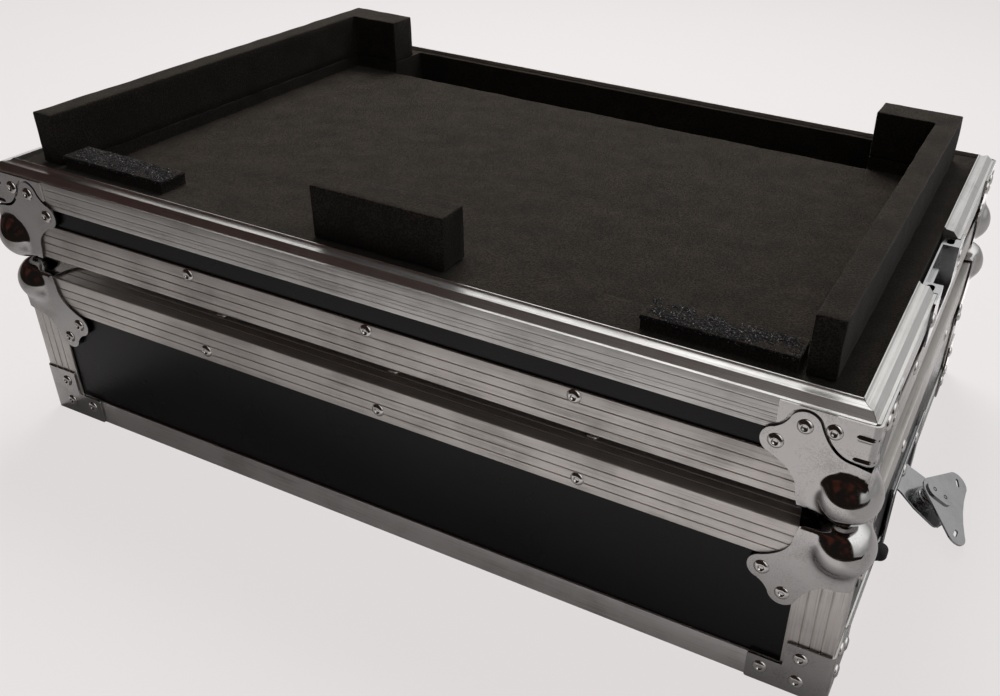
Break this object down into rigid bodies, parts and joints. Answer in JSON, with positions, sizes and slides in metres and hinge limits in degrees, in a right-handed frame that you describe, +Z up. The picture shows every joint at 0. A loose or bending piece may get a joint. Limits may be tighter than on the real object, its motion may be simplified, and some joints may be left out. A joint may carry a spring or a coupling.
{
  "type": "flight case",
  "caption": "Flight case for a flat deck controller: a foam-lined base on its upturned lid, with ribbed aluminium edges, ball corners and butterfly latches",
  "frame": {"origin": "on the ground, in the middle of the lid's footprint", "axes": "+X to the right as the front is faced, +Y to the back, +Z up"},
  "size_m": [0.7494, 0.4374, 0.245],
  "materials": {
    "black_laminate": "black laminate on plywood, fine grain",
    "ribbed_aluminium": "satin extruded, ribbed",
    "rim_aluminium": "bright extruded",
    "corner_steel": "zinc plated, satin",
    "latch_steel": "zinc plated, bright",
    "black_foam": "open-cell foam, dusty black",
    "black_rubber": "smooth"
  },
  "bodies": {
    "lid": {"lid_top_panel": "black_laminate", "lid_front_panel": "black_laminate", "lid_back_panel": "black_laminate", "lid_left_panel": "black_laminate", "lid_right_panel": "black_laminate", "lid_edge_rail_front": "ribbed_aluminium", "lid_edge_rail_right": "ribbed_aluminium", "lid_edge_rail_back": "ribbed_aluminium", "lid_edge_rail_left": "ribbed_aluminium", "lid_rim_front": "rim_aluminium", "lid_rim_right": "rim_aluminium", "lid_rim_back": "rim_aluminium", "lid_rim_left": "rim_aluminium", "lid_corner_rail_front_left": "ribbed_aluminium", "lid_corner_rail_front_right": "ribbed_aluminium", "lid_corner_rail_back_left": "ribbed_aluminium", "lid_corner_rail_back_right": "ribbed_aluminium", "lid_ball_corner_front_left": "corner_steel", "lid_ball_corner_front_right": "corner_steel", "lid_ball_corner_back_left": "corner_steel", "lid_ball_corner_back_right": "corner_steel", "lid_brace_front_left": "corner_steel", "lid_brace_front_right": "corner_steel", "lid_brace_back_left": "corner_steel", "lid_brace_back_right": "corner_steel", "lid_foam_pad": "black_foam", "latch_dish_right": "latch_steel", "latch_dish_left": "latch_steel", "latch_buffer_right": "black_rubber", "latch_buffer_left": "black_rubber"},
    "base": {"base_bottom_panel": "black_laminate", "base_wall_frame": "black_laminate", "base_edge_rail_front": "ribbed_aluminium", "base_edge_rail_right": "ribbed_aluminium", "base_edge_rail_back": "ribbed_aluminium", "base_edge_rail_left": "ribbed_aluminium", "base_rim_front": "rim_aluminium", "base_rim_right": "rim_aluminium", "base_rim_back": "rim_aluminium", "base_rim_left": "rim_aluminium", "base_ball_corner_front_left": "corner_steel", "base_ball_corner_front_right": "corner_steel", "base_ball_corner_back_left": "corner_steel", "base_ball_corner_back_right": "corner_steel", "base_brace_front_left": "corner_steel", "base_brace_front_right": "corner_steel", "base_brace_back_left": "corner_steel", "base_brace_back_right": "corner_steel", "keeper_dish_right": "latch_steel", "keeper_dish_left": "latch_steel", "foam_bed": "black_foam", "foam_wall_right": "black_foam", "foam_wall_left": "black_foam", "foam_front_block": "black_foam"},
    "latch_arm_right": {"latch_arm_right": "latch_steel"},
    "latch_wing_right": {"latch_wing_right": "latch_steel"},
    "latch_hook_right": {"latch_hook_right": "latch_steel"},
    "latch_arm_left": {"latch_arm_left": "latch_steel"},
    "latch_wing_left": {"latch_wing_left": "latch_steel"},
    "latch_hook_left": {"latch_hook_left": "latch_steel"}
  },
  "joints": [
    {"name": "base_lift", "type": "slide", "parent": "lid", "child": "base", "axis": [0, 0, 1], "range_m": [0, 0.3]},
    {"name": "latch_arm_right_hinge", "type": "hinge", "parent": "lid", "child": "latch_arm_right", "pos_m": [0.3166, -0.008, 0.033], "axis": [0, 1, 0], "range_deg": [-59, 56]},
    {"name": "latch_wing_right_turn", "type": "hinge", "parent": "latch_arm_right", "child": "latch_wing_right", "pos_m": [0.33981, -0.008, 0.01734], "axis": [0.5592, 0, 0.829], "range_deg": [-80, 0]},
    {"name": "latch_hook_right_slide", "type": "slide", "parent": "latch_arm_right", "child": "latch_hook_right", "axis": [-0.829, 0, 0.5592], "range_m": [0, 0.0055]},
    {"name": "latch_arm_left_hinge", "type": "hinge", "parent": "lid", "child": "latch_arm_left", "pos_m": [-0.3166, -0.008, 0.033], "axis": [0, -1, 0], "range_deg": [-59, 56]},
    {"name": "latch_wing_left_turn", "type": "hinge", "parent": "latch_arm_left", "child": "latch_wing_left", "pos_m": [-0.33981, -0.008, 0.01734], "axis": [-0.5592, 0, 0.829], "range_deg": [-80, 0]},
    {"name": "latch_hook_left_slide", "type": "slide", "parent": "latch_arm_left", "child": "latch_hook_left", "axis": [0.829, 0, 0.5592], "range_m": [0, 0.0055]}
  ],
  "couplings": [
    {"joint": "latch_hook_right_slide", "follows": "latch_wing_right_turn", "m_per_rad": -0.00358},
    {"joint": "latch_hook_left_slide", "follows": "latch_wing_left_turn", "m_per_rad": -0.00358}
  ]
}
